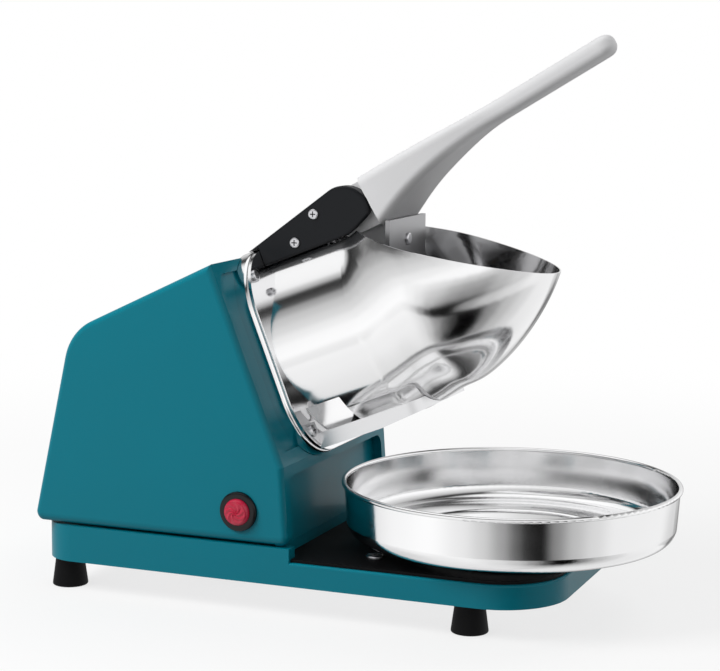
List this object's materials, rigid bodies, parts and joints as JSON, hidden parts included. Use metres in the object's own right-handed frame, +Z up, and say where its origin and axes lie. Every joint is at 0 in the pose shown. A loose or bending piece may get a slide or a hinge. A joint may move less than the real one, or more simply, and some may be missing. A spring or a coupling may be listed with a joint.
{
  "type": "electric ice shaver",
  "caption": "Electric ice shaver: a tilted hopper with a press lever feeds ice to a spinning blade disc above a catch bowl, with a push button on the housing.",
  "frame": {"origin": "floor level, half way along the machine and on its middle plane", "axes": "+X forward from the housing to the bowl, +Y to the side away from the switch, +Z up"},
  "size_m": [0.412, 0.22, 0.3681],
  "materials": {
    "teal_paint": "satin powder coat",
    "chrome": "polished",
    "cast_alloy": "satin",
    "black_block": "matte",
    "black_rubber": "matte",
    "red_button": "gloss, lit from inside",
    "black_gloss": "gloss",
    "steel": "brushed",
    "zinc": "plated",
    "bronze": "sintered",
    "motor_case": "satin",
    "fan_plastic": "matte"
  },
  "bodies": {
    "machine": {"base_tray": "teal_paint", "bottom_plate": "zinc", "cable_gland": "black_gloss", "chute_guard": "chrome", "collar": "chrome", "collar_screw_1": "zinc", "collar_screw_2": "zinc", "collar_screw_3": "zinc", "collar_screw_4": "zinc", "foot_1": "black_rubber", "foot_2": "black_rubber", "foot_3": "black_rubber", "foot_4": "black_rubber", "foot_screw_1": "zinc", "foot_screw_2": "zinc", "foot_screw_3": "zinc", "foot_screw_4": "zinc", "front_bearing": "bronze", "gland_nut": "black_gloss", "hinge_block": "black_block", "hinge_cheek_far": "black_block", "hinge_cheek_near": "black_block", "hinge_screw_far_1": "zinc", "hinge_screw_far_2": "zinc", "hinge_screw_near_1": "zinc", "hinge_screw_near_2": "zinc", "hopper": "chrome", "housing": "teal_paint", "motor_body": "motor_case", "motor_mount": "black_rubber", "pivot_pin": "steel", "switch_bezel": "black_gloss", "switch_body": "black_block", "switch_nut": "black_gloss", "tray_mat": "black_rubber", "tray_screw_1": "zinc", "tray_screw_2": "zinc"},
    "press_lever": {"lever": "cast_alloy", "press_plate": "steel", "press_rivet_1": "zinc", "press_rivet_2": "zinc"},
    "cutter": {"motor_shaft": "steel", "cutter_disc": "steel", "blade_1": "steel", "blade_2": "steel", "blade_screw_1_1": "zinc", "blade_screw_1_2": "zinc", "blade_screw_2_1": "zinc", "blade_screw_2_2": "zinc", "disc_nut": "zinc", "cooling_fan": "fan_plastic"},
    "bowl": {"bowl": "chrome"},
    "power_button": {"power_button": "red_button"}
  },
  "joints": [
    {"name": "lever_pivot", "type": "hinge", "parent": "machine", "child": "press_lever", "pos_m": [-0.0095, 0, 0.25365], "axis": [0, 1, 0], "range_deg": [-30, 42]},
    {"name": "cutter_spin", "type": "hinge", "parent": "machine", "child": "cutter", "pos_m": [-0.0537, 0, 0.1595], "axis": [0.9285, 0, 0.3714], "continuous": true},
    {"name": "bowl_lift", "type": "slide", "parent": "machine", "child": "bowl", "axis": [0.9744, 0, 0.225], "range_m": [0, 0.28]},
    {"name": "power_button_press", "type": "slide", "parent": "machine", "child": "power_button", "axis": [0, 1, 0], "range_m": [0, 0.0025], "stiffness_N_per_m": 800, "springref_m": -0.0015}
  ]
}
